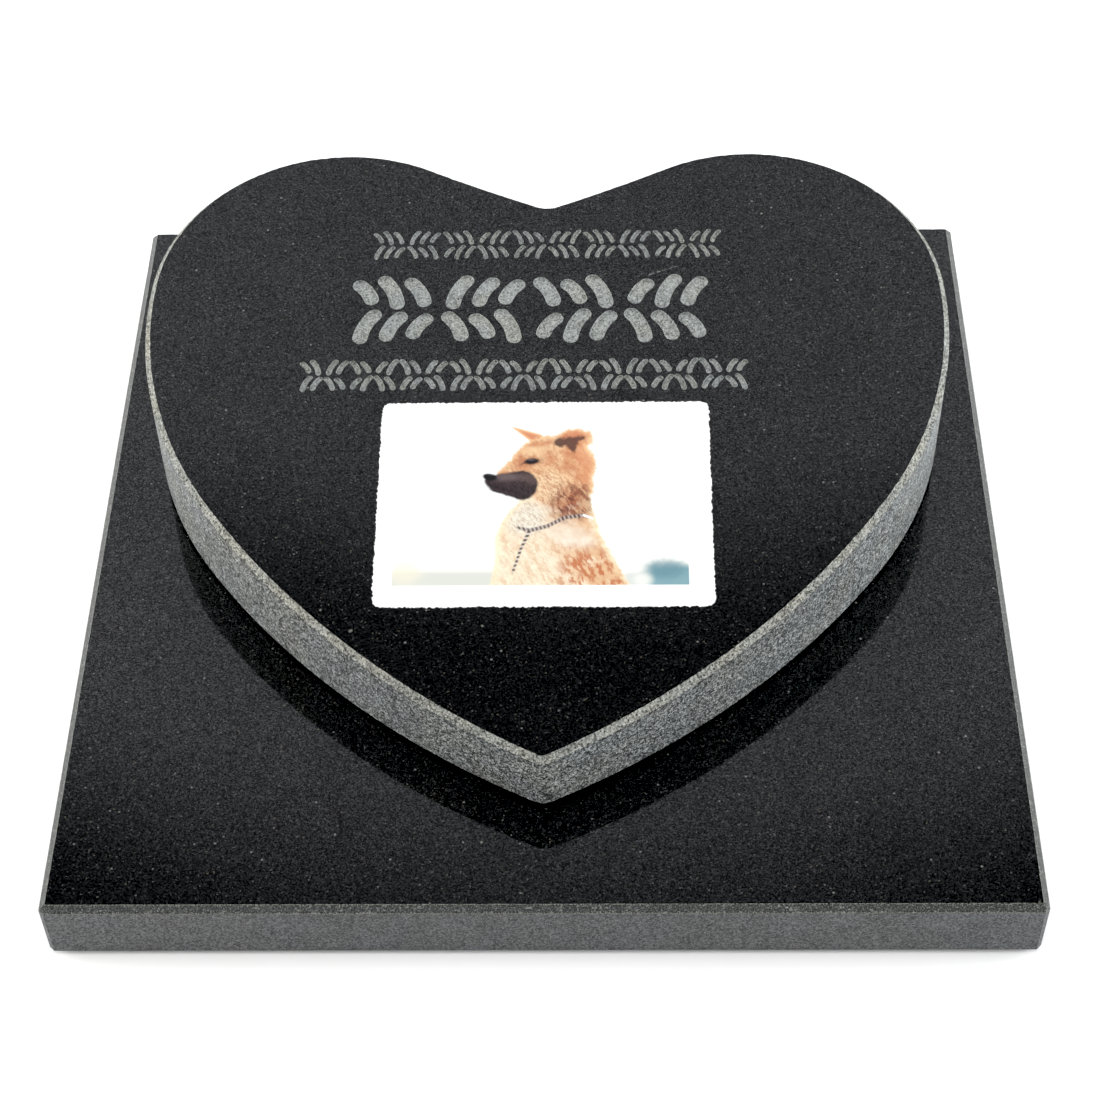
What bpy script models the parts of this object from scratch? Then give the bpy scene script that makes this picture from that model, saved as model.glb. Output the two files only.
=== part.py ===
"""Heart-shaped granite headstone that lies on a square granite slab.

The heart is a wedge: flat below, with a polished top that slopes down to its tip. A printed picture sits in
a shallow pocket in the top, and three rows of short strokes are blasted into the stone above it.
Units are metres. +Z is up, the tip points to -Y, and the origin is under the middle of the slab.
"""
import math
from typing import NamedTuple

import bmesh
import bpy
from mathutils import Matrix

# Slab
SLAB_THICKNESS = 0.025
SLAB_SIDE_MARGIN = 0.0145
SLAB_FRONT_MARGIN = 0.0359
SLAB_REAR_MARGIN = 0.0183
SLAB_TOP_CHAMFER = 0.002
SLAB_FOOT_CHAMFER = 0.0025
SLAB_CORNER_CHAMFER = 0.0015

# Heart block
HEART_WIDTH = 0.271
HEART_TIP_HEIGHT = 0.024
HEART_TOP_SLOPE = math.radians(6.5)
HEART_TOP_CHAMFER = 0.002
HEART_FOOT_CHAMFER = 0.002
TIP_BLUNTING = 0.0025
CLEFT_ROUNDING = 0.003
CORNER_SEGMENTS = 3

# Half outline of the heart, from the tip round to the cleft: arcs that run into each other, with radii as
# shares of the heart's width. The cleft run turns the other way and ends on the middle line.
TIP_HEADING = math.radians(25.6)
FLANK_RADIUS_SHARE = 1.049
FLANK_TURN = math.radians(29.4)
SIDE_RADIUS_SHARE = 0.520
SIDE_TURN = math.radians(40.2)
LOBE_RADIUS_SHARE = 0.239
LOBE_TURN = math.radians(111.4)
CLEFT_RADIUS_SHARE = 2.30
ARC_TOLERANCE_SHARE = 0.0004

# Printed picture in its pocket
PRINT_WIDTH = 0.107
PRINT_HEIGHT = 0.080
PRINT_THICKNESS = 0.0008
PRINT_CORNER_RADIUS = 0.004
PRINT_CORNER_SEGMENTS = 4
PRINT_CENTRE_SHARE = 0.430

# Clearance that neighbouring pieces keep, as their bed of glue
GLUE_GAP = 0.0003

# Strokes: all of one depth, each bent a little and leaning off the upright
STROKE_DEPTH = 0.0008
STROKE_BEND = math.radians(34)
STROKE_LEAN = math.radians(24)
LEAN_STEP = math.radians(5)
LENGTH_STEP_SHARE = 0.12
LONGEST_STROKE_SHARE = 1.08


class Row(NamedTuple):
    """One row of strokes.

    gap, below the row, and height are shares of the field between the print and the cleft. width and offset
    are shares of the heart's width, and stroke, a stroke's width, is a share of the row's height.
    """

    gap: float
    height: float
    width: float
    offset: float
    stroke: float
    cells: int
    strokes_in_tier: int
    segments: int


LOWER_ROW = Row(gap=0.058, height=0.158, width=0.552, offset=-0.027, stroke=0.140,
                cells=18, strokes_in_tier=2, segments=2)
MIDDLE_ROW = Row(gap=0.078, height=0.346, width=0.456, offset=-0.021, stroke=0.172,
                 cells=4, strokes_in_tier=3, segments=4)
UPPER_ROW = Row(gap=0.082, height=0.153, width=0.446, offset=0.0, stroke=0.122,
                cells=10, strokes_in_tier=3, segments=2)


def outline_arcs():
    """Return the unit half outline: each arc as centre x, centre y, radius, first heading and turn.

    A heading is the direction of travel, measured from +X. A negative radius turns the other way.
    """
    x, y, heading = 0.0, 0.0, TIP_HEADING
    arcs = []
    for radius, turn in ((FLANK_RADIUS_SHARE, FLANK_TURN), (SIDE_RADIUS_SHARE, SIDE_TURN),
                         (LOBE_RADIUS_SHARE, LOBE_TURN)):
        centre_x = x - radius * math.sin(heading)
        centre_y = y + radius * math.cos(heading)
        arcs.append((centre_x, centre_y, radius, heading, turn))
        heading += turn
        x = centre_x + radius * math.sin(heading)
        y = centre_y - radius * math.cos(heading)
    centre_x = x + CLEFT_RADIUS_SHARE * math.sin(heading)
    centre_y = y - CLEFT_RADIUS_SHARE * math.cos(heading)
    last_heading = math.pi + math.asin(-centre_x / CLEFT_RADIUS_SHARE)
    arcs.append((centre_x, centre_y, -CLEFT_RADIUS_SHARE, heading, last_heading - heading))
    return arcs


def half_outline():
    """Return points of the right half from the tip, at the origin, round to the cleft."""
    arcs = outline_arcs()
    widest_x = arcs[1][0] + SIDE_RADIUS_SHARE
    scale = HEART_WIDTH / 2 / widest_x
    points = [(0.0, 0.0)]
    for centre_x, centre_y, radius, heading, turn in arcs:
        step = 2 * math.acos(1 - ARC_TOLERANCE_SHARE / abs(radius))
        count = math.ceil(abs(turn) / step)
        for index in range(1, count + 1):
            angle = heading + turn * index / count
            points.append((scale * (centre_x + radius * math.sin(angle)),
                           scale * (centre_y - radius * math.cos(angle))))
    return points


HALF_OUTLINE = half_outline()
HEART_LENGTH = max(y for x, y in HALF_OUTLINE)
TIP_TO_CLEFT = HALF_OUTLINE[-1][1]
SLAB_WIDTH = HEART_WIDTH + 2 * SLAB_SIDE_MARGIN
SLAB_LENGTH = HEART_LENGTH + SLAB_FRONT_MARGIN + SLAB_REAR_MARGIN
TIP_Y = -SLAB_LENGTH / 2 + SLAB_FRONT_MARGIN
HEART_FOOT_Z = SLAB_THICKNESS + GLUE_GAP

# Frame of the sloping top: x across, y up the slope from the tip, z out of the stone
TOP_FRAME = (Matrix.Translation((0.0, TIP_Y, HEART_FOOT_Z + HEART_TIP_HEIGHT))
             @ Matrix.Rotation(HEART_TOP_SLOPE, 4, "X"))
SLOPE_TO_CLEFT = TIP_TO_CLEFT / math.cos(HEART_TOP_SLOPE)
PRINT_CENTRE = PRINT_CENTRE_SHARE * SLOPE_TO_CLEFT
POCKET_DEPTH = PRINT_THICKNESS + GLUE_GAP
FIELD_FOOT = PRINT_CENTRE + PRINT_HEIGHT / 2
FIELD_HEIGHT = SLOPE_TO_CLEFT - FIELD_FOOT


def clear_scene():
    """Remove every object that the file starts with."""
    for item in list(bpy.data.objects):
        bpy.data.objects.remove(item, do_unlink=True)


def make_material(name, colour, roughness, metallic=0.0):
    """Return a Principled material."""
    material = bpy.data.materials.new(name)
    material.use_nodes = True
    shader = material.node_tree.nodes["Principled BSDF"]
    shader.inputs["Base Color"].default_value = (*colour, 1.0)
    shader.inputs["Roughness"].default_value = roughness
    shader.inputs["Metallic"].default_value = metallic
    return material


def finish_object(name, bm, material=None):
    """Turn a bmesh into a named object in the scene."""
    bmesh.ops.recalc_face_normals(bm, faces=bm.faces)
    mesh = bpy.data.meshes.new(name)
    bm.to_mesh(mesh)
    bm.free()
    item = bpy.data.objects.new(name, mesh)
    bpy.context.scene.collection.objects.link(item)
    if material:
        mesh.materials.append(material)
    return item


def bevel_edges(bm, edges, width, segments=1):
    """Bevel edges with a plain width."""
    bmesh.ops.bevel(bm, geom=edges, offset=width, offset_type="OFFSET", segments=segments, profile=0.5,
                    affect="EDGES", material=-1, clamp_overlap=True)


def upright_edges(bm, on_middle_line=False):
    """Return the edges that run along Z, or only those on the middle line, front one first."""
    tiny = 1e-6
    edges = [edge for edge in bm.edges
             if (edge.verts[0].co - edge.verts[1].co).xy.length < tiny
             and not (on_middle_line and abs(edge.verts[0].co.x) > tiny)]
    return sorted(edges, key=lambda edge: edge.verts[0].co.y)


def rim_edges(bm, pick):
    """Return the edges round the large face that looks up, with pick=max, or down, with pick=min."""
    return list(pick(bm.faces, key=lambda face: face.normal.z * face.calc_area()).edges)


def make_slab(material):
    """Make the square slab with ground edges, its underside on the ground."""
    bm = bmesh.new()
    bmesh.ops.create_cube(bm, size=1.0)
    bmesh.ops.scale(bm, vec=(SLAB_WIDTH, SLAB_LENGTH, SLAB_THICKNESS), verts=bm.verts)
    bmesh.ops.translate(bm, vec=(0.0, 0.0, SLAB_THICKNESS / 2), verts=bm.verts)
    bevel_edges(bm, upright_edges(bm), SLAB_CORNER_CHAMFER)
    bevel_edges(bm, rim_edges(bm, max), SLAB_TOP_CHAMFER)
    bevel_edges(bm, rim_edges(bm, min), SLAB_FOOT_CHAMFER)
    return finish_object("base_slab", bm, material)


def make_heart(material):
    """Make the heart's wedge: upright sides, flat foot, sloping top and ground edges."""
    left_half = [(-x, y) for x, y in reversed(HALF_OUTLINE[1:-1])]
    bm = bmesh.new()
    ring = [bm.verts.new((x, TIP_Y + y, HEART_FOOT_Z)) for x, y in HALF_OUTLINE + left_half]
    risen = bmesh.ops.extrude_face_region(bm, geom=[bm.faces.new(ring)])
    for vert in risen["geom"]:
        if isinstance(vert, bmesh.types.BMVert):
            vert.co.z += HEART_TIP_HEIGHT + math.tan(HEART_TOP_SLOPE) * (vert.co.y - TIP_Y)
    bmesh.ops.recalc_face_normals(bm, faces=bm.faces)
    bevel_edges(bm, upright_edges(bm, on_middle_line=True)[-1:], CLEFT_ROUNDING, CORNER_SEGMENTS)
    bevel_edges(bm, upright_edges(bm, on_middle_line=True)[:1], TIP_BLUNTING, CORNER_SEGMENTS)
    bevel_edges(bm, rim_edges(bm, max), HEART_TOP_CHAMFER)
    bevel_edges(bm, rim_edges(bm, min), HEART_FOOT_CHAMFER)
    heart = finish_object("heart_stone", bm, material)
    heart.data.shade_smooth()
    heart.data.set_sharp_from_angle(angle=math.radians(20))
    return heart


def make_rounded_plate(name, clearance, low, high, material=None):
    """Make a rounded rectangle where the print lies, between two heights above the sloping top."""
    bm = bmesh.new()
    bmesh.ops.create_cube(bm, size=1.0)
    size = (PRINT_WIDTH + 2 * clearance, PRINT_HEIGHT + 2 * clearance, high - low)
    bmesh.ops.scale(bm, vec=size, verts=bm.verts)
    bmesh.ops.translate(bm, vec=(0.0, PRINT_CENTRE, (low + high) / 2), verts=bm.verts)
    bevel_edges(bm, upright_edges(bm), PRINT_CORNER_RADIUS + clearance, PRINT_CORNER_SEGMENTS)
    plate = finish_object(name, bm, material)
    plate.matrix_world = TOP_FRAME
    return plate


def stroke_ring(x, y, length, width, lean, bend, segments):
    """Return the outline of a bent stroke with round ends, its middle at x, y.

    lean is the direction of its middle from +X, and bend is the angle that it turns through.
    """
    radius = (length - width) / bend
    centre_x = x - radius * math.sin(lean)
    centre_y = y + radius * math.cos(lean)
    ring = []
    for side in (1, -1):
        for index in range(segments + 1):
            heading = lean + side * bend * (index / segments - 0.5)
            reach = radius + side * width / 2
            ring.append((centre_x + reach * math.sin(heading), centre_y - reach * math.cos(heading)))
        end_heading = lean + side * bend / 2
        end_x = centre_x + radius * math.sin(end_heading)
        end_y = centre_y - radius * math.cos(end_heading)
        for index in range(1, segments):
            turned = end_heading + math.pi * index / segments
            ring.append((end_x + side * width / 2 * math.sin(turned),
                         end_y - side * width / 2 * math.cos(turned)))
    return ring


def add_row(bm, row, foot):
    """Add a row's cutters: in each cell two tiers of strokes that lean opposite ways and never touch."""
    tier_height = row.height * FIELD_HEIGHT / 2
    stroke_width = row.stroke * row.height * FIELD_HEIGHT
    pitch = row.width * HEART_WIDTH / row.cells
    spacing = pitch / (row.strokes_in_tier + 0.45)
    for cell in range(row.cells):
        cell_x = row.offset * HEART_WIDTH + (cell + 0.5 - row.cells / 2) * pitch
        for tier in (0, 1):
            lean_way = 1 if cell % 2 == tier else -1
            bend_way = 1 if (cell + tier) % 2 else -1
            for place in range(row.strokes_in_tier):
                shorter = (cell + 2 * tier + place) % 3
                ring = stroke_ring(x=cell_x + (place - (row.strokes_in_tier - 1) / 2) * spacing,
                                   y=foot + tier_height * (tier + 0.5),
                                   length=tier_height * (LONGEST_STROKE_SHARE - LENGTH_STEP_SHARE * shorter),
                                   width=stroke_width,
                                   lean=math.pi / 2 - lean_way * (STROKE_LEAN + LEAN_STEP * shorter),
                                   bend=bend_way * STROKE_BEND,
                                   segments=row.segments)
                floor = bm.faces.new([bm.verts.new((x, y, -STROKE_DEPTH)) for x, y in ring])
                risen = bmesh.ops.extrude_face_region(bm, geom=[floor])
                lids = [item for item in risen["geom"] if isinstance(item, bmesh.types.BMVert)]
                bmesh.ops.translate(bm, vec=(0.0, 0.0, 2 * STROKE_DEPTH), verts=lids)


def make_stroke_cutter():
    """Make the cutter of all the strokes, row above row from the print's top edge."""
    bm = bmesh.new()
    foot = FIELD_FOOT
    for row in (LOWER_ROW, MIDDLE_ROW, UPPER_ROW):
        foot += row.gap * FIELD_HEIGHT
        add_row(bm, row, foot)
        foot += row.height * FIELD_HEIGHT
    cutter = finish_object("stroke_cutter", bm)
    cutter.matrix_world = TOP_FRAME
    return cutter


def cut(body, cutter):
    """Cut one shape out of a body with a live Boolean, and show the cutter as wire only."""
    modifier = body.modifiers.new("cut_" + cutter.name, "BOOLEAN")
    modifier.operation = "DIFFERENCE"
    modifier.solver = "EXACT"
    modifier.object = cutter
    cutter.hide_render = True
    cutter.display_type = "WIRE"


def main():
    """Build the slab, the heart with its cuts, and the print."""
    clear_scene()
    slab_granite = make_material("slab_granite", (0.022, 0.023, 0.026), 0.12)
    heart_granite = make_material("heart_granite", (0.022, 0.023, 0.026), 0.10)
    white_print = make_material("white_print", (0.86, 0.85, 0.82), 0.35)
    make_slab(slab_granite)
    heart = make_heart(heart_granite)
    cut(heart, make_rounded_plate("print_pocket_cutter", GLUE_GAP, -POCKET_DEPTH, POCKET_DEPTH))
    cut(heart, make_stroke_cutter())
    make_rounded_plate("photo_print", 0.0, -PRINT_THICKNESS, 0.0, white_print)


main()
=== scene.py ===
"""Dresses the heart headstone: granite slab, wedge-shaped heart, blasted strokes and printed picture.

Metres, +Z up, the heart's tip towards -Y. Materials work in millimetres on Object coordinates.
"""
import math
from typing import NamedTuple

import bmesh
import bpy
from bpy.props import FloatProperty, FloatVectorProperty, PointerProperty
from mathutils import Euler, Matrix, Vector, noise


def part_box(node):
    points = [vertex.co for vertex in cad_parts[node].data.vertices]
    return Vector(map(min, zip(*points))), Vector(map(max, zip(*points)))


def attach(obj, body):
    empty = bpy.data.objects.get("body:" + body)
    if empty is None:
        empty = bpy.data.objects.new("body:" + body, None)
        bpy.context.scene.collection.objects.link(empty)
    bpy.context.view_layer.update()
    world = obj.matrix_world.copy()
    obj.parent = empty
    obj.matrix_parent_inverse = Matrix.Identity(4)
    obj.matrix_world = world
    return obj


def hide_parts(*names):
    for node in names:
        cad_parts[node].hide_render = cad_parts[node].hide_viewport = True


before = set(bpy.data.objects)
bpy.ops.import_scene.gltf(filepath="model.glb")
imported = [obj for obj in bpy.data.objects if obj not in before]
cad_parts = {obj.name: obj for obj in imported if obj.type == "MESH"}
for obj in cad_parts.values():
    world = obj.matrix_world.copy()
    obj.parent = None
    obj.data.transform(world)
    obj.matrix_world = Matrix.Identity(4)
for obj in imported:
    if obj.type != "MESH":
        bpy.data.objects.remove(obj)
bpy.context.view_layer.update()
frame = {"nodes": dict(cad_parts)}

bl_info = {
    "name": "Heart Headstone",
    "version": (1, 0, 0),
    "blender": (4, 5, 0),
    "location": "View3D > Sidebar > Headstone",
    "description": "Makes a low granite memorial: a sloping heart with a picture, on a square slab",
    "category": "Object",
}

SLAB_LOW, SLAB_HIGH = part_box("base_slab")
HEART_LOW, HEART_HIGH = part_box("heart_stone")
HEART_WIDTH = HEART_HIGH.x - HEART_LOW.x
MM = 0.001

# Half outline of the heart, from the tip round to the cleft: arcs that run into each other, with radii as
# shares of the heart's width. The cleft run turns the other way and ends on the middle line.
TIP_HEADING = math.radians(25.6)
FLANK_RADIUS_SHARE = 1.049
FLANK_TURN = math.radians(29.4)
SIDE_RADIUS_SHARE = 0.520
SIDE_TURN = math.radians(40.2)
LOBE_RADIUS_SHARE = 0.239
LOBE_TURN = math.radians(111.4)
CLEFT_RADIUS_SHARE = 2.30
PRINT_CENTRE_SHARE = 0.430

# How closely the outlines' points are spaced, how many round a small corner, and where shading breaks
OUTLINE_SPACING = 1.3 * MM
RIM_SPACING = 0.33 * MM
CORNER_POINTS = 12
BLUNTING_POINTS = 5
SHARP_ANGLE = math.radians(20)

# Waves of the print's ragged rim: length in millimetres, weight and where the pattern starts
RIM_WAVES = ((11.0, 0.35, (0.0, 0.0, 0.0)), (2.1, 0.40, (5.0, 0.0, 2.0)), (0.75, 0.90, (0.0, 9.0, 4.0)))

# Finishes of the stone, in the order of its material slots
FINISHES = ("polished_granite", "honed_granite", "rough_granite", "ground_granite", "sawn_granite",
            "blasted_granite")
POLISHED, HONED, ROUGH, GROUND, SAWN, BLASTED = range(len(FINISHES))

# Marks in the polish as bent rods, in millimetres round the slab's middle: stops of x, y and half width
SCUFF = ((35.0, 74.6, 0.35), (45.0, 78.4, 0.15))
PALE_DOT = ((-59.6, -67.9, 0.45), (-59.3, -67.7, 0.45))
SMEAR = ((-64.0, -106.0, 0.2), (-61.0, -122.0, 0.7), (-64.0, -133.0, 0.2))

# The picture's sides and foot round the middle of the print, in millimetres
PICTURE_LEFT, PICTURE_RIGHT, PICTURE_FOOT = -47.6, 45.5, -32.0
PICTURE_BLUR = 0.4
COLLAR = ((-8.4, -10.0, 0.5), (-4.6, -11.2, 0.75), (0.9, -9.6, 0.7), (6.6, -6.2, 0.75), (12.4, -5.4, 0.7))
COLLAR_RING = ((12.6, -5.4, 0.5), (15.4, -6.6, 0.4))
COLLAR_END = ((-4.9, -12.0, 0.6), (-7.2, -18.0, 0.5), (-9.7, -27.0, 0.42))

# Camera of the photo, from a fit of the slab's and the heart's outlines
CAMERA_SENSOR = 36.0
CAMERA_LENS = 79.33
CAMERA_PLACE = (0.01587, -0.53643, 0.63644)
CAMERA_DEGREES = (40.742, 0.963, 0.486)

# The stage: the lights aim at the stone's middle, and the low softboxes stand left and right of it
FLOOR_RADIUS = 14.0
STONE_MIDDLE = (0.0, 0.0, 0.03)
SIDE_BOXES = (("left_softbox", (-1.3, 0.0, 0.35), (1.0, 0.99, 0.96)),
              ("right_softbox", (1.3, 0.0, 0.35), (0.95, 0.98, 1.0)))
SIDE_BOX_SIZE = (1.0, 0.7)
WHITE = (1.0, 1.0, 1.0)


def srgb(red, green, blue):
    """Return a colour given from 0 to 255 as the linear colour that shaders take."""
    return tuple(v / 12.92 if v <= 0.04045 else ((v + 0.055) / 1.055) ** 2.4
                 for v in (red / 255, green / 255, blue / 255))


def colour_property(name, description, colour):
    """Return a colour property with a linear default."""
    return FloatVectorProperty(name=name, description=description, default=colour, subtype="COLOR", size=3,
                               min=0.0, max=1.0)


def length_property(name, description, metres, least=0.0):
    """Return a property that holds a length."""
    return FloatProperty(name=name, description=description, default=metres, min=least, unit="LENGTH")


def angle_property(name, description, degrees, least=0.0):
    """Return a property that holds an angle, up to a quarter turn."""
    return FloatProperty(name=name, description=description, default=math.radians(degrees), min=least,
                         max=math.pi / 2, subtype="ANGLE")


def radiance_property(name, description, radiance, most=100.0):
    """Return a property that holds the radiance of a light or a room."""
    return FloatProperty(name=name, description=description, default=radiance, min=0.0, max=most)


class SlabSizes(bpy.types.PropertyGroup):
    """Sizes of the slab's ground edges."""

    top_chamfer: length_property("Top chamfer", "Width of the ground edge round the top", 0.002)
    foot_chamfer: length_property("Foot chamfer", "Width of the ground edge round the underside", 0.0025)
    corner_chamfer: length_property("Corner chamfer", "Width of the ground upright corners", 0.0015)
    crumble: length_property("Crumble", "How far the edge wanders where grains broke out", 0.00018)
    front_margin: length_property("Front margin", "From the slab's front to the heart's tip", 0.0359)


class HeartSizes(bpy.types.PropertyGroup):
    """Sizes of the heart block."""

    tip_height: length_property("Tip height", "Height of the block at its tip", 0.024, least=0.001)
    top_slope: angle_property("Top slope", "Angle of the sloping top", 6.5)
    top_chamfer: length_property("Top chamfer", "Width of the ground edge round the top", 0.0017)
    foot_chamfer: length_property("Foot chamfer", "Width of the ground edge at the foot", 0.002)
    tip_blunting: length_property("Tip blunting", "Width taken off the sharp tip", 0.0018)
    cleft_rounding: length_property("Cleft rounding", "Width of the rounding in the cleft", 0.003)
    crumble: length_property("Crumble", "How far the edge wanders where grains broke out", 0.00026)


class StrokeSizes(bpy.types.PropertyGroup):
    """Sizes of the blasted strokes."""

    depth: length_property("Depth", "Depth of a stroke", 0.0008)
    draft: length_property("Draft", "How much narrower each side is at the floor", 0.0003)
    bend: angle_property("Bend", "Angle that a stroke turns through", 34, least=0.01)
    lean: angle_property("Lean", "How far a stroke leans off the upright", 24)
    lean_step: angle_property("Lean step", "Extra lean of a shorter stroke", 5)
    raggedness: length_property("Raggedness", "How far a stroke's edge wanders", 0.00006)


class PrintSizes(bpy.types.PropertyGroup):
    """Sizes of the printed picture and its pocket."""

    width: length_property("Width", "Width of the print", 0.107, least=0.01)
    height: length_property("Height", "Height of the print", 0.080, least=0.01)
    thickness: length_property("Thickness", "Thickness of the printed layer", 0.0008)
    corner_radius: length_property("Corner radius", "Rounding of the print's corners", 0.0030)
    clearance: length_property("Clearance", "Open joint between the print and its pocket", 0.0003)
    pocket_draft: length_property("Pocket draft", "How much narrower the pocket is at its floor", 0.0001)
    sinking: length_property("Sinking", "How far the print lies below the polished top", 0.00012)
    raggedness: length_property("Raggedness", "How far the print's edge wanders", 0.00055)


class StoneColours(bpy.types.PropertyGroup):
    """Colours of the granite in its finishes."""

    ground_mass: colour_property("Ground mass", "Polished stone between its grains", (0.001, 0.0011, 0.0013))
    fleck: colour_property("Fleck", "Small pale grains in the polished stone", (0.052, 0.051, 0.048))
    crystal: colour_property("Crystal", "Sparse bright grains in the polished stone", (0.12, 0.117, 0.107))
    honed: colour_property("Honed", "The matt sides of the slab", srgb(77, 78, 79))
    rough: colour_property("Rough", "The coarser sides of the heart", srgb(114, 116, 115))
    ground: colour_property("Ground", "The rough ground edge of the heart", srgb(124, 124, 118))
    sawn: colour_property("Sawn", "The half-polished ground edge of the slab", srgb(58, 59, 58))
    blasted: colour_property("Blasted", "The frosted strokes", srgb(136, 138, 135))


class StudioSettings(bpy.types.PropertyGroup):
    """Settings of the floor and the lights."""

    floor: colour_property("Floor", "The pale floor", (0.93, 0.93, 0.92))
    top_light: radiance_property("Top light", "Radiance of the softbox overhead", 2.5)
    side_light: radiance_property("Side light", "Radiance of the low softboxes left and right", 9.6)
    back_light: radiance_property("Back light", "Radiance of the panel behind the stone", 1.1)
    room_light: radiance_property("Room light", "Extra radiance of the room at eye level", 0.33)
    dim_light: radiance_property("Dim light", "Radiance of the whole room", 0.22)
    ceiling_light: radiance_property("Ceiling light", "Extra radiance of the room right overhead", 0.3)
    black_level: radiance_property("Black level", "Radiance that is shown as black", 0.011, most=0.1)


class Row(NamedTuple):
    """One row of strokes.

    gap, below the row, and height are shares of the field between the print and the cleft. width and offset
    are shares of the heart's width, and stroke, a stroke's width, is a share of the row's height.
    """

    gap: float
    height: float
    width: float
    offset: float
    stroke: float
    cells: int
    strokes_in_tier: int
    segments: int


ROWS = (
    Row(gap=0.058, height=0.158, width=0.552, offset=-0.027, stroke=0.140,
        cells=18, strokes_in_tier=2, segments=6),
    Row(gap=0.078, height=0.346, width=0.456, offset=-0.021, stroke=0.172,
        cells=4, strokes_in_tier=3, segments=10),
    Row(gap=0.082, height=0.153, width=0.446, offset=0.0, stroke=0.122,
        cells=10, strokes_in_tier=3, segments=6),
)
LENGTH_STEP_SHARE = 0.12
LONGEST_STROKE_SHARE = 1.08
CELL_GAP_SHARE = 0.45


class Value:
    """A shader socket that takes part in Python arithmetic: an expression adds its Math nodes."""

    def __init__(self, graph, socket):
        self.graph = graph
        self.socket = socket

    def math(self, operation, *others):
        """Add a Math node on this value and others."""
        inputs = dict(enumerate((self, *others)))
        return self.graph.add("ShaderNodeMath", {"operation": operation}, inputs)

    def __add__(self, other):
        return self.math("ADD", other)

    def __sub__(self, other):
        return self.math("SUBTRACT", other)

    def __rsub__(self, other):
        return self.graph.add("ShaderNodeMath", {"operation": "SUBTRACT"}, {0: other, 1: self})

    def __mul__(self, other):
        return self.math("MULTIPLY", other)

    __radd__ = __add__
    __rmul__ = __mul__

    def smooth(self, low, high):
        """Return 0 below low and 1 above high, with a smooth way between."""
        return self.graph.add("ShaderNodeMapRange", {"interpolation_type": "SMOOTHSTEP"},
                              {"Value": self, "From Min": low, "From Max": high})

    def below(self, edge, blur):
        """Return 1 under an edge and 0 over it, blurred by a width."""
        return 1 - self.smooth(edge - blur / 2, edge + blur / 2)

    def merged(self, other, softness):
        """Return the distance outside two shapes that run softly into each other."""
        return self.math("SMOOTH_MIN", other, softness)


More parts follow.
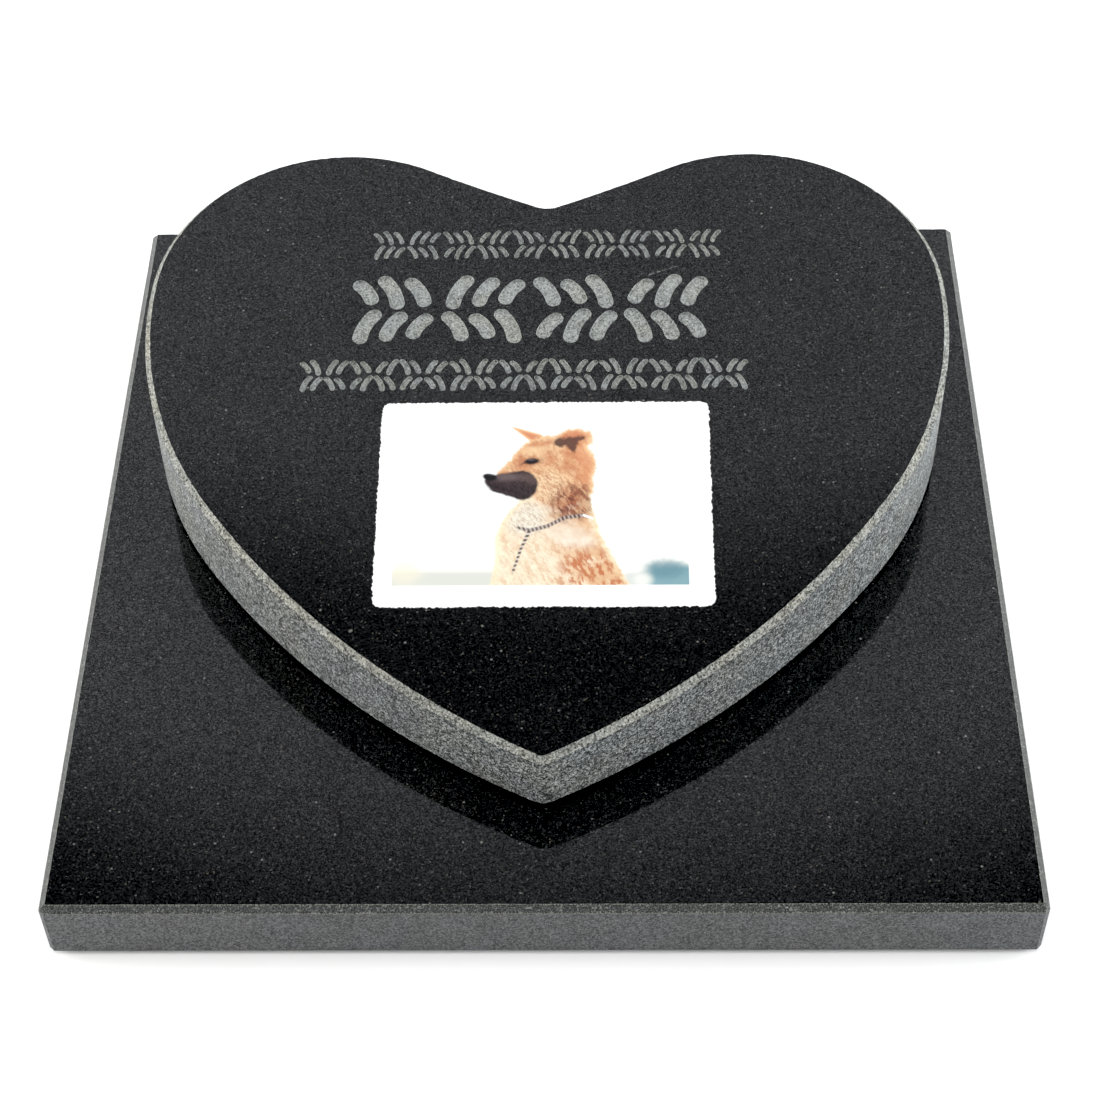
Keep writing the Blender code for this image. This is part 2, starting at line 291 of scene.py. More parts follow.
class Graph:
    """A node tree. One method adds any node, and a few name the nodes that come up often."""

    def __init__(self, tree):
        self.tree = tree

    def add(self, kind, settings, inputs, output=0):
        """Add a node with its settings first, then its sockets' values or links, and return an output."""
        node = self.tree.nodes.new(kind)
        for name, setting in settings.items():
            setattr(node, name, setting)
        for key, value in inputs.items():
            if isinstance(value, Value):
                self.tree.links.new(value.socket, node.inputs[key])
            else:
                node.inputs[key].default_value = value
        return Value(self, node.outputs[output])

    def vector(self, operation, *inputs, output=0):
        """Add a Vector Math node."""
        return self.add("ShaderNodeVectorMath", {"operation": operation}, dict(enumerate(inputs)), output)

    def part(self, vector, axis):
        """Return one coordinate of a vector."""
        return self.add("ShaderNodeSeparateXYZ", {}, {"Vector": vector}, axis)

    def attribute(self, name):
        """Return a number that the mesh carries."""
        return self.add("ShaderNodeAttribute", {"attribute_name": name}, {}, "Fac")

    def mix(self, factor, first, second):
        """Mix two colours."""
        colours = [c if isinstance(c, Value) else (*c, 1.0) for c in (first, second)]
        return self.add("ShaderNodeMix", {"data_type": "RGBA"}, {0: factor, 6: colours[0], 7: colours[1]}, 2)

    def scaled(self, colour, factor):
        """Return a colour or a vector times a factor."""
        return self.add("ShaderNodeVectorMath", {"operation": "SCALE"}, {0: colour, "Scale": factor})

    def position(self):
        """Return the point on the piece in millimetres."""
        point = self.add("ShaderNodeTexCoord", {}, {}, "Object")
        return self.vector("MULTIPLY", point, (1 / MM,) * 3)

    def noise(self, point, size, detail=2.0, roughness=0.5, output="Fac"):
        """Return a cloudy pattern whose features measure size."""
        return self.add("ShaderNodeTexNoise", {}, {"Vector": point, "Scale": 1 / size, "Detail": detail,
                                                   "Roughness": roughness}, output)

    def grains(self, point, size):
        """Return the distance from a grain's middle, in grains, and three random numbers of the grain."""
        distance = self.add("ShaderNodeTexVoronoi", {}, {"Vector": point, "Scale": 1 / size}, "Distance")
        colour = Value(self, distance.socket.node.outputs["Color"])
        parts = self.add("ShaderNodeSeparateColor", {}, {"Color": colour}).socket.node.outputs
        return distance, [Value(self, part) for part in parts]

    def mapped(self, point, centre=(0.0, 0.0), turn=0.0, size=(1.0, 1.0)):
        """Return a point as seen from a centre, turned and measured in given sizes."""
        return self.add("ShaderNodeMapping", {"vector_type": "TEXTURE"},
                        {"Vector": point, "Location": (*centre, 0.0), "Rotation": (0.0, 0.0, turn),
                         "Scale": (*size, 1.0)})

    def ruffled(self, point, wander, reach):
        """Return a point moved along the picture by a noise's colour, by up to half of reach each way."""
        centred = self.vector("SUBTRACT", wander, (0.5, 0.5, 0.5))
        return self.vector("ADD", point, self.vector("MULTIPLY", centred, (reach, reach, 0.0)))

    def ellipse(self, point, centre, radii, turn=0.0):
        """Return the rough distance outside an ellipse, in millimetres."""
        seen = self.mapped(point, centre, turn, radii)
        return (self.vector("LENGTH", seen, output=1) - 1) * min(radii)

    def rod(self, point, *stops, softness=0.0):
        """Return the rough distance outside a bent rod with round ends, from stops of x, y and radius."""
        whole = None
        for (start_x, start_y, start_radius), (end_x, end_y, end_radius) in zip(stops, stops[1:]):
            run = Vector((end_x - start_x, end_y - start_y))
            seen = self.vector("SUBTRACT", point, (start_x, start_y, 0.0))
            share = self.vector("DOT_PRODUCT", seen, (*(run / run.length_squared), 0.0), output=1)
            share = share.math("MAXIMUM", 0.0).math("MINIMUM", 1.0)
            nearest = self.scaled((*run, 0.0), share)
            away = self.vector("LENGTH", self.vector("SUBTRACT", seen, nearest), output=1)
            outside = away - (start_radius + (end_radius - start_radius) * share)
            whole = outside if whole is None else whole.merged(outside, softness)
        return whole


def new_material(name):
    """Return a material with an empty node tree, its graph and its output node."""
    material = bpy.data.materials.new(name)
    material.use_nodes = True
    material.node_tree.nodes.clear()
    output = material.node_tree.nodes.new("ShaderNodeOutputMaterial")
    return material, Graph(material.node_tree), output


def finish_material(graph, output, constants, **varying):
    """Add the Principled shader: constants on its own sockets, and links for what changes."""
    inputs = dict(constants)
    inputs.update({name.replace("_", " "): value for name, value in varying.items()})
    shader = graph.add("ShaderNodeBsdfPrincipled", {}, inputs)
    graph.tree.links.new(shader.socket, output.inputs["Surface"])


def bump(graph, height, distance, strength=1.0):
    """Return a normal from a height pattern and its real depth in metres."""
    return graph.add("ShaderNodeBump", {}, {"Height": height, "Distance": distance, "Strength": strength})


def tinted(colour, tint):
    """Return a colour times another."""
    return tuple(c * t for c, t in zip(colour, tint))


def polished_granite(name, colours):
    """Polished top: nearly black and mirror-like, with fine grains of uneven gloss and pale flecks."""
    material, graph, output = new_material(name)
    point = graph.position()
    fine = graph.noise(point, 0.34, detail=1.0)
    _, (grit, _, _) = graph.grains(point, 0.38)
    grain = (fine - 0.5) * 0.7 + (grit - 0.5) * 0.24
    colour = graph.scaled(tuple(colours.ground_mass), (grain * 11.0).math("EXPONENT"))

    _, (chance, tint, glint) = graph.grains(point, 0.50)
    flecks = chance.smooth(0.94, 1.0) * (0.3 + 0.7 * glint)
    cool, warm = tinted(colours.fleck, (0.86, 0.97, 1.12)), tinted(colours.fleck, (1.12, 1.0, 0.78))
    colour = graph.mix(flecks, colour, graph.mix(tint, cool, warm))

    middle, (presence, brightness, _) = graph.grains(point, 3.0)
    crystals = middle.below(0.06 + 0.08 * brightness, 0.06) * presence.smooth(0.55, 0.70)
    crystals = crystals * (0.2 + 0.8 * brightness * brightness)
    colour = graph.mix(crystals, colour, tuple(colours.crystal))

    flat = graph.vector("MULTIPLY", point, (1.0, 1.0, 0.0))
    scuff = graph.rod(flat, *SCUFF).below(0.0, 0.3) * fine.smooth(0.45, 0.60)
    dot = graph.rod(flat, *PALE_DOT).below(0.0, 0.6)
    colour = graph.mix(scuff.math("MAXIMUM", dot), colour, tuple(colours.crystal))

    cloud = graph.noise(point, 22.0, detail=3.0)
    smear = graph.rod(flat, *SMEAR, softness=1.0).below(0.0, 1.2)
    gloss = (grain * 6.6 + (cloud - 0.5) * 0.3 + 0.62) * (1 - 0.45 * smear)
    finish_material(graph, output,
                    {"IOR": 1.36, "Coat Roughness": 0.035, "Coat IOR": 1.5, "Specular IOR Level": 0.5},
                    Base_Color=colour, Roughness=0.07 + 0.05 * cloud, Coat_Weight=gloss.math("MAXIMUM", 0.0))
    return material


def sawn_granite(name, colours):
    """Ground edge of the slab: half polished and dark, with coarse pale grains and paler borders."""
    material, graph, output = new_material(name)
    point = graph.position()
    fine = graph.noise(point, 0.45, detail=1.5)
    colour = graph.scaled(tuple(colours.sawn), ((fine - 0.5) * 7.5).math("EXPONENT"))
    _, (chance, glint, _) = graph.grains(point, 0.7)
    colour = graph.mix(chance.smooth(0.86, 0.97) * glint * 0.8, colour, tuple(colours.ground))
    # The colour turns paler towards both borders of the ground edge
    paler_border = (graph.attribute("border") + (fine - 0.5) * 1.6).smooth(0.66, 1.0)
    colour = graph.mix(paler_border * 0.65, colour, tinted(colours.ground, (1.1, 1.1, 1.02)))
    finish_material(graph, output, {"IOR": 1.5}, Base_Color=colour, Roughness=0.28 + 0.3 * fine,
                    Normal=bump(graph, fine, 0.04 * MM))
    return material


def matt_granite(name, colour, contrast, dark_share, roughness, relief, chip_shade=0.0):
    """Granite that isn't polished: grey, with dark and pale grains, faint tints and a dry face.

    relief is the depth of the fine grain in metres. The last argument sets how much painted shade darkens
    small chips under the ground edge, where the border attribute nears 1.
    """
    material, graph, output = new_material(name)
    point = graph.position()
    _, (chance, shade, _) = graph.grains(point, 0.60)
    _, (grit, _, _) = graph.grains(point, 0.30)
    fine = graph.noise(point, 0.40, detail=2.0, roughness=0.6)
    cloud = graph.noise(point, 9.0, detail=3.0)
    level = (fine - 0.5) * 1.6 + (shade - 0.5) * 0.9 + (grit - 0.5) * 0.9
    level = 1 + level * contrast + (cloud - 0.5) * 0.45
    level = level * (1 - chance.below(dark_share, 0.04) * 0.6)
    if chip_shade:
        # Painted shade: small chips just under the ground edge are darkened in the colour
        shaded_chips = graph.noise(graph.mapped(point, size=(1.3, 1.3)), 1.0, detail=2.0).smooth(0.50, 0.60)
        level = level * (1 - shaded_chips * graph.attribute("border").smooth(0.84, 0.97) * chip_shade)
    drift = graph.noise(point, 16.0, detail=2.0).smooth(0.36, 0.64)
    mass = graph.mix(drift, tinted(colour, (1.01, 1.0, 0.97)), tinted(colour, (0.98, 1.0, 1.025)))
    finish_material(graph, output, {"IOR": 1.5, "Roughness": roughness},
                    Base_Color=graph.scaled(mass, level.math("MAXIMUM", 0.05)),
                    Normal=bump(graph, fine, relief))
    return material


def stone_materials(colours):
    """Return the finishes in the order of a stone's slots. The second stone shares those of the first."""
    made = bpy.data.materials
    if FINISHES[POLISHED] in made:
        return [made[name] for name in FINISHES]
    return [polished_granite(FINISHES[POLISHED], colours),
            matt_granite(FINISHES[HONED], colours.honed, contrast=1.25, dark_share=0.12, roughness=0.55,
                         relief=0.05 * MM),
            matt_granite(FINISHES[ROUGH], colours.rough, contrast=2.6, dark_share=0.24, roughness=0.60,
                         relief=0.10 * MM, chip_shade=0.6),
            matt_granite(FINISHES[GROUND], colours.ground, contrast=1.20, dark_share=0.12, roughness=0.75,
                         relief=0.12 * MM),
            sawn_granite(FINISHES[SAWN], colours),
            matt_granite(FINISHES[BLASTED], colours.blasted, contrast=0.85, dark_share=0.0, roughness=0.85,
                         relief=0.06 * MM)]


class Painting:
    """A colour that grows as shapes are painted over it."""

    def __init__(self, graph, colour):
        self.graph = graph
        self.colour = colour

    def cover(self, share, colour):
        """Lay a colour over what is there, by a share from 0 to 1."""
        self.colour = self.graph.mix(share, self.colour, colour)

    def blob(self, point, centre, radii, colour, turn=0.0, blur=1.0, strength=1.0):
        """Paint an ellipse with a blurred edge."""
        self.cover(self.graph.ellipse(point, centre, radii, turn).below(0.0, blur) * strength, colour)

    def line(self, point, stops, colour, blur=1.0, strength=1.0):
        """Paint a bent rod with a blurred edge."""
        self.cover(self.graph.rod(point, *stops).below(0.0, blur) * strength, colour)


class Canvas(NamedTuple):
    """The printed picture's own place in millimetres, and the patterns of the dog's coat.

    calm and furry are the plain point moved a little and a lot, so shapes seen from them have soft outlines.
    """

    plain: Value
    calm: Value
    furry: Value
    across: Value
    up: Value
    hair: Value
    tuft: Value
    patch: Value


def make_canvas(graph, top):
    """Return the canvas of the picture that lies in the heart's sloping top."""
    middle = top.frame @ Vector((0.0, top.print_centre, 0.0))
    plain = graph.add("ShaderNodeMapping", {"vector_type": "TEXTURE"},
                      {"Vector": graph.add("ShaderNodeTexCoord", {}, {}, "Object"), "Location": tuple(middle),
                       "Rotation": (top.frame.to_euler().x, 0.0, 0.0), "Scale": (MM, MM, MM)})
    wander = graph.noise(plain, 1.5, detail=3.0, output="Color")
    furry = graph.ruffled(plain, wander, 2.2)
    return Canvas(plain=plain, calm=graph.ruffled(plain, wander, 0.9), furry=furry,
                  across=graph.part(plain, "X"), up=graph.part(plain, "Y"),
                  hair=graph.noise(graph.mapped(furry, turn=-0.9, size=(1.9, 0.5)), 1.0, detail=3.0),
                  tuft=graph.noise(graph.mapped(furry, turn=-1.1, size=(4.6, 1.5)), 1.0, detail=3.0),
                  patch=graph.noise(plain, 6.0, detail=3.0))


def paint_ground(picture, at):
    """Paint the overexposed sky, a pale bank on either side and blurred trees on the right."""
    picture.cover(at.up.below(-14.0, 26.0) * 0.6, srgb(255, 252, 238))
    picture.cover(at.up.below(-26.4, 3.4) * at.across.below(-12.0, 3.0) * 0.9, srgb(206, 208, 200))
    picture.blob(at.furry, (-43.5, -27.0), (5.0, 4.5), srgb(232, 226, 206), blur=5.0, strength=0.7)
    picture.cover(at.up.below(-27.0, 3.0) * (1 - at.across.below(25.0, 3.0)) * 0.8, srgb(200, 205, 200))
    crowns = at.up + 3.6 * picture.graph.noise(at.plain, 5.0, detail=3.0)
    picture.cover(crowns.below(-22.5, 4.5) * (1 - at.across.below(33.0, 5.0)), srgb(128, 164, 172))
    picture.blob(at.furry, (38.0, -26.0), (6.5, 3.6), srgb(96, 136, 148), blur=4.0, strength=0.75)
    picture.blob(at.plain, (31.0, -30.0), (2.8, 2.2), srgb(238, 238, 232), blur=2.6, strength=0.7)


def paint_body(picture, at):
    """Paint the neck and the chest, cream in front and tan behind, and return the distance outside them."""
    graph = picture.graph
    neck = graph.rod(at.furry, (4.4, 4.0, 10.6), (1.5, -15.7, 16.9))
    chest = graph.rod(at.furry, (1.5, -15.7, 16.9), (5.0, -38.0, 23.6))
    ruff = graph.ellipse(at.furry, (-5.2, -5.8), (7.0, 5.6))
    body = neck.merged(chest, 3.0).merged(ruff, 1.5)

    fur = Painting(graph, srgb(240, 226, 200))
    fur.cover((at.across + 0.25 * at.up).smooth(-9.0, 10.0), srgb(222, 182, 142))
    fur.cover(at.tuft.smooth(0.44, 0.64) * 0.50, srgb(212, 170, 132))
    fur.cover(at.hair.smooth(0.42, 0.66) * 0.35, srgb(190, 148, 114))
    fur.cover(at.patch.smooth(0.48, 0.66) * 0.60, srgb(244, 232, 210))
    shoulder = at.up.below(-18.0, 12.0) * at.across.smooth(1.0, 10.0) * at.across.below(27.0, 6.0)
    fur.cover(at.tuft.smooth(0.46, 0.60) * shoulder * 0.85, srgb(186, 104, 62))
    bib = graph.mix(at.hair.smooth(0.42, 0.64), srgb(230, 224, 210), srgb(196, 180, 158))
    fur.blob(at.furry, (-6.0, -6.5), (6.5, 6.5), bib, blur=5.0, strength=0.85)
    fur.blob(at.furry, (8.0, -13.0), (8.0, 4.0), srgb(236, 228, 214), turn=-0.4, blur=5.0,
             strength=0.25 + 0.6 * at.patch)
    fur.cover(body.smooth(-3.2, -0.4) * 0.6, srgb(248, 230, 192))
    picture.cover(body.below(-0.3, 1.6), fur.colour)
    return body


def paint_head(picture, at, body):
    """Paint the head, looking left, with its ears and the shade that it throws on the body."""
    graph = picture.graph
    far_ear = graph.rod(at.plain, (-2.6, 25.0, 2.5), (-10.2, 29.6, 0.6))
    ear_fur = graph.mix(far_ear.smooth(-1.5, -0.2), srgb(206, 136, 100), srgb(238, 196, 150))
    picture.cover(far_ear.below(-0.2, 0.9), ear_fur)

    skull = graph.ellipse(at.furry, (3.2, 14.8), (14.0, 12.0), -0.15)
    cheek = graph.ellipse(at.furry, (5.2, 5.5), (11.0, 10.5))
    brow = graph.rod(at.furry, (-6.0, 14.8, 5.8), (-13.6, 10.9, 2.2))
    near_ear = graph.ellipse(at.furry, (9.4, 24.6), (7.0, 4.8), 0.12)
    head = skull.merged(cheek, 2.5).merged(brow, 2.0).merged(near_ear, 1.2)

    face = Painting(graph, srgb(228, 188, 146))
    face.cover(at.patch.smooth(0.40, 0.60), srgb(206, 148, 108))
    face.cover(at.tuft.smooth(0.46, 0.62) * 0.45, srgb(186, 118, 80))
    face.cover(at.hair.smooth(0.44, 0.64) * 0.45, srgb(170, 108, 76))
    jowl = graph.mix(at.hair.smooth(0.42, 0.62), srgb(236, 212, 176), srgb(194, 148, 110))
    face.blob(at.furry, (1.0, 5.5), (5.5, 6.5), jowl, blur=5.0, strength=0.7)
    temple = graph.mix(at.tuft, srgb(228, 160, 118), srgb(196, 118, 80))
    face.blob(at.furry, (13.4, 17.0), (3.0, 9.0), temple, turn=0.1, blur=4.0, strength=0.60)
    face.blob(at.furry, (9.8, 26.8), (5.8, 2.4), srgb(202, 130, 94), turn=0.1, blur=2.6, strength=0.8)
    face.blob(at.furry, (-3.4, 20.4), (5.0, 1.4), srgb(238, 206, 162), turn=0.2, blur=2.0, strength=0.6)
    face.cover(head.smooth(-2.4, -0.3) * 0.55, srgb(248, 214, 166))
    fade = graph.ellipse(at.furry, (5.4, 8.0), (12.0, 12.0)).smooth(-3.0, 0.0) * at.up.below(2.0, 5.0)
    picture.cover(head.below(-0.3, 1.4) * (1 - fade), face.colour)

    shade = graph.ellipse(at.furry, (8.8, -0.4), (7.4, 6.8), 0.5).below(0.0, 6.0)
    shade = shade * (0.35 + 0.6 * at.tuft.smooth(0.40, 0.56)) * body.below(-0.6, 1.6)
    picture.cover(shade, graph.mix(at.hair.smooth(0.38, 0.62), srgb(158, 96, 70), srgb(104, 58, 46)))
    fold = graph.rod(at.furry, (4.6, 23.6, 1.6), (12.2, 25.2, 0.5))
    hollow = graph.rod(at.furry, (8.6, 23.6, 2.2), (9.4, 19.8, 0.3))
    picture.cover(fold.merged(hollow, 1.0).below(0.2, 1.4) * 0.92,
                  graph.mix(at.patch, srgb(50, 32, 32), srgb(104, 70, 62)))


def paint_muzzle(picture, at):
    """Paint the dark muzzle with its paler bridge, the nose with a highlight, and the mouth."""
    graph = picture.graph
    snout = graph.rod(at.calm, (-17.0, 8.3, 2.4), (-7.8, 6.8, 5.6))
    jaw = graph.rod(at.calm, (-15.6, 6.3, 2.5), (-7.2, 5.0, 4.3))
    dark = Painting(graph, srgb(36, 28, 31))
    dark.cover(at.hair.smooth(0.36, 0.64), srgb(66, 53, 55))
    dark.blob(at.furry, (-12.0, 9.8), (5.0, 1.5), srgb(112, 96, 96), turn=-0.05, blur=2.6, strength=0.75)
    dark.blob(at.furry, (-4.6, 9.0), (3.0, 2.0), srgb(106, 88, 84), turn=-0.4, blur=2.4, strength=0.5)
    picture.cover(snout.merged(jaw, 1.2).below(0.0, 1.1), dark.colour)
    picture.blob(at.plain, (-17.7, 9.8), (2.3, 1.35), srgb(22, 21, 24), turn=-0.25, blur=0.7)
    picture.blob(at.plain, (-17.2, 10.7), (0.9, 0.25), srgb(120, 124, 132), turn=-0.1, blur=0.5,
                 strength=0.45)
    picture.line(at.calm, ((-17.4, 6.2, 0.12), (-9.0, 3.8, 0.25)), srgb(18, 14, 17), blur=0.8, strength=0.6)


def paint_eye(picture, at):
    """Paint the eye: its brown rim, the dark ball, the inner corner and a highlight."""
    picture.blob(at.furry, (-4.2, 16.0), (3.6, 1.8), srgb(150, 98, 74), turn=0.14, blur=1.8, strength=0.6)
    picture.blob(at.plain, (-4.2, 16.0), (2.4, 1.15), srgb(36, 29, 31), turn=0.12, blur=0.7)
    picture.line(at.plain, ((-6.2, 15.6, 0.35), (-8.0, 14.6, 0.1)), srgb(74, 48, 42), blur=0.5, strength=0.8)
    picture.blob(at.plain, (-4.4, 16.6), (1.0, 0.3), srgb(120, 122, 132), blur=0.5, strength=0.5)


def paint_collar(picture, at):
    """Paint the chain collar, its pale ring and the end that hangs down."""
    graph = picture.graph
    gap = srgb(46, 36, 40)
    links = (at.across * 4.6 + at.up * 1.5).math("SINE").smooth(-0.5, 0.5)
    picture.line(at.plain, COLLAR, graph.mix(links, gap, srgb(176, 164, 160)), blur=0.7, strength=0.85)
    picture.line(at.plain, COLLAR_RING, srgb(252, 250, 248), blur=0.4)
    links = (at.up * 3.9).math("SINE").smooth(-0.5, 0.5)
    picture.line(at.plain, COLLAR_END, graph.mix(links, gap, srgb(206, 194, 186)), blur=0.6, strength=0.9)


def printed_picture(top):
    """Printed picture on white: a dog's head and chest in bright light before a pale, blurred ground."""
    material, graph, output = new_material("printed_picture")
    at = make_canvas(graph, top)
    picture = Painting(graph, WHITE)
    paint_ground(picture, at)
    body = paint_body(picture, at)
    paint_head(picture, at, body)
    paint_muzzle(picture, at)
    paint_eye(picture, at)
    paint_collar(picture, at)
    outside_left = at.across.below(PICTURE_LEFT, PICTURE_BLUR)
    outside_foot = at.up.below(PICTURE_FOOT, PICTURE_BLUR)
    inside = (1 - outside_left) * at.across.below(PICTURE_RIGHT, PICTURE_BLUR) * (1 - outside_foot)
    fleck = graph.noise(at.plain, 0.5, detail=2.0)
    finish_material(graph, output, {"IOR": 1.45},
                    Base_Color=graph.scaled(graph.mix(inside, WHITE, picture.colour), 0.80),
                    Roughness=0.34 + 0.1 * fleck, Normal=bump(graph, fleck, 0.03 * MM, strength=0.4))
    return material


def plain_white(name):
    """The white layer's broken rim."""
    material, graph, output = new_material(name)
    grain = graph.noise(graph.position(), 0.6, detail=2.0)
    colour = graph.mix(grain, srgb(214, 212, 204), srgb(246, 245, 240))
    finish_material(graph, output, {"IOR": 1.45, "Roughness": 0.6}, Base_Color=colour)
    return material


def make_object(name, bm, materials):
    """Turn a bmesh into an object with its materials."""
    bmesh.ops.recalc_face_normals(bm, faces=bm.faces)
    mesh = bpy.data.meshes.new(name)
    bm.to_mesh(mesh)
    bm.free()
    for material in materials:
        mesh.materials.append(material)
    piece = bpy.data.objects.new(name, mesh)
    bpy.context.scene.collection.objects.link(piece)
    return piece


def place_piece(piece, node):
    """Hide the part that a finished piece stands for, and hang the piece on the root body."""
    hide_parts(node)
    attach(piece, "root")


def smooth_piece(piece):
    """Shade smooth, but for the sharp edges."""
    piece.data.shade_smooth()
    piece.data.set_sharp_from_angle(angle=SHARP_ANGLE)


def bevel_edges(bm, edges, width):
    """Bevel edges with a plain width, and return the new faces."""
    return bmesh.ops.bevel(bm, geom=edges, offset=width, offset_type="OFFSET", segments=1, profile=0.5,
                           affect="EDGES", material=-1, clamp_overlap=False)["faces"]


def largest_face(bm, pick):
    """Return the large face that looks up, with pick=max, or down, with pick=min."""
    return pick(bm.faces, key=lambda face: face.normal.z * face.calc_area())


def only_verts(items):
    """Return the vertices among mixed parts of a mesh."""
    return [item for item in items if isinstance(item, bmesh.types.BMVert)]


def crumbling(point, reach):
    """Return how far grains broke out of an edge at a point: a fine ripple and a few deeper chips."""
    where = point / MM
    ripple = 0.5 + 0.5 * noise.noise(where / 0.7)
    chip = max(0.0, noise.noise(where / 1.9 + Vector((7.0, 3.0, 1.0))) - 0.40)
    return reach * (ripple + 3.0 * chip)


def grind_rim(bm, face, width, reach, slope, finish):
    """Grind a chamfer round the top face, with crumbled borders and a slightly uneven face."""
    border = bm.verts.layers.float.new("border")
    faces = set(bevel_edges(bm, list(face.edges), width))
    for item in faces:
        item.material_index = finish
    bm.normal_update()
    face = largest_face(bm, max)
    across = []
    for vert in face.verts:
        edge = next(edge for edge in vert.link_edges
                    if face not in edge.link_faces and all(item in faces for item in edge.link_faces))
        across.append((vert, edge.other_vert(vert), edge))
    for upper, lower, _ in across:
        inwards = Vector((*(upper.co - lower.co).xy, 0.0)).normalized()
        inwards.z = inwards.y * math.tan(slope)
        upper.co += inwards * crumbling(upper.co, reach)
        upper[border] = 1.0
        lower[border] = 1.0
        lower.co.z -= crumbling(lower.co, 1.2 * reach)
    made = bmesh.ops.subdivide_edges(bm, edges=[edge for _, _, edge in across], cuts=2, use_grid_fill=True)
    for vert in set(only_verts(made["geom_inner"])):
        vert.co -= vert.normal * crumbling(vert.co * 1.7, 0.45 * reach)
        vert[border] = 0.0


def cut_stone(ring, foot, tip_height, slope, tip_y, chamfers, crumble, side_finish, rim_finish):
    """Cut a block from a ring of points: flat foot, sloping top and ground edges.

    tip_height is the height at tip_y, and chamfers are the widths of the upper and the lower ground edge.
    """
    bm = bmesh.new()
    base = bm.faces.new([bm.verts.new((x, y, foot)) for x, y in ring])
    risen = bmesh.ops.extrude_face_region(bm, geom=[base])
    for vert in only_verts(risen["geom"]):
        vert.co.z += tip_height + math.tan(slope) * (vert.co.y - tip_y)
    bmesh.ops.recalc_face_normals(bm, faces=bm.faces)
    for face in bm.faces:
        face.material_index = side_finish
    top_chamfer, foot_chamfer = chamfers
    for face in bevel_edges(bm, list(largest_face(bm, min).edges), foot_chamfer):
        face.material_index = side_finish
    top = largest_face(bm, max)
    top.material_index = POLISHED
    bm.normal_update()
    grind_rim(bm, top, top_chamfer, crumble, slope, rim_finish)
    return bm


def half_outline(spacing):
    """Return the right half of the heart's outline as points from the tip, at the origin, to the cleft."""
    x, y, heading = 0.0, 0.0, TIP_HEADING
    arcs = []
    for radius, turn in ((FLANK_RADIUS_SHARE, FLANK_TURN), (SIDE_RADIUS_SHARE, SIDE_TURN),
                         (LOBE_RADIUS_SHARE, LOBE_TURN)):
        centre_x = x - radius * math.sin(heading)
        centre_y = y + radius * math.cos(heading)
        arcs.append((centre_x, centre_y, radius, heading, turn))
        heading += turn
        x = centre_x + radius * math.sin(heading)
        y = centre_y - radius * math.cos(heading)
    centre_x = x + CLEFT_RADIUS_SHARE * math.sin(heading)
    centre_y = y - CLEFT_RADIUS_SHARE * math.cos(heading)
    last_heading = math.pi + math.asin(-centre_x / CLEFT_RADIUS_SHARE)
    arcs.append((centre_x, centre_y, -CLEFT_RADIUS_SHARE, heading, last_heading - heading))
    side_centre_x = arcs[1][0]
    scale = HEART_WIDTH / 2 / (side_centre_x + SIDE_RADIUS_SHARE)
    points = [(0.0, 0.0)]
    for centre_x, centre_y, radius, heading, turn in arcs:
        count = math.ceil(abs(radius * turn) * scale / spacing)
        for index in range(1, count + 1):
            angle = heading + turn * index / count
            points.append((scale * (centre_x + radius * math.sin(angle)),
                           scale * (centre_y - radius * math.cos(angle))))
    return points


def rounding(start, corner):
    """Return points on a curve from start to its mirror image, drawn towards a corner on the middle line."""
    points = []
    for index in range(1, BLUNTING_POINTS):
        share = index / BLUNTING_POINTS
        pull = 2 * share * (1 - share)
        points.append((start[0] * (1 - 2 * share), start[1] * (1 - pull) + corner[1] * pull))
    return points


def heart_ring(spacing, tip_blunting, cleft_rounding):
    """Return the heart's outline as a ring of points, its sharp tip at the origin before it is blunted."""
    points = half_outline(spacing)
    tip, cleft = points[0], points[-1]
    right = [point for point in points
             if math.dist(point, tip) > tip_blunting and math.dist(point, cleft) > cleft_rounding]
    left = [(-x, y) for x, y in reversed(right)]
    return right + rounding(right[-1], cleft) + left + rounding(left[-1], tip)


def square_ring(low, high, corner, spacing):
    """Return a rectangle's outline with cut corners, as closely spaced points."""
    corners = ((low.x + corner, low.y), (high.x - corner, low.y), (high.x, low.y + corner),
               (high.x, high.y - corner), (high.x - corner, high.y), (low.x + corner, high.y),
               (low.x, high.y - corner), (low.x, low.y + corner))
    ring = []
    for start, end in zip(corners, corners[1:] + corners[:1]):
        count = max(1, round(math.dist(start, end) / spacing))
        ring += [(start[0] + (end[0] - start[0]) * step / count,
                  start[1] + (end[1] - start[1]) * step / count) for step in range(count)]
    return ring


class Top(NamedTuple):
    """The heart's sloping top: its frame, with x across, y up the slope and z out, and places along it."""

    frame: Matrix
    tip_y: float
    print_centre: float
    to_cleft: float


def heart_top(scene):
    """Work out the heart's sloping top from the frame and the sizes."""
    heart = scene.headstone_heart
    tip_y = SLAB_LOW.y + scene.headstone_slab.front_margin
    to_cleft = half_outline(MM)[-1][1] / math.cos(heart.top_slope)
    placed = (Matrix.Translation((0.0, tip_y, HEART_LOW.z + heart.tip_height))
              @ Matrix.Rotation(heart.top_slope, 4, "X"))
    return Top(placed, tip_y, PRINT_CENTRE_SHARE * to_cleft, to_cleft)


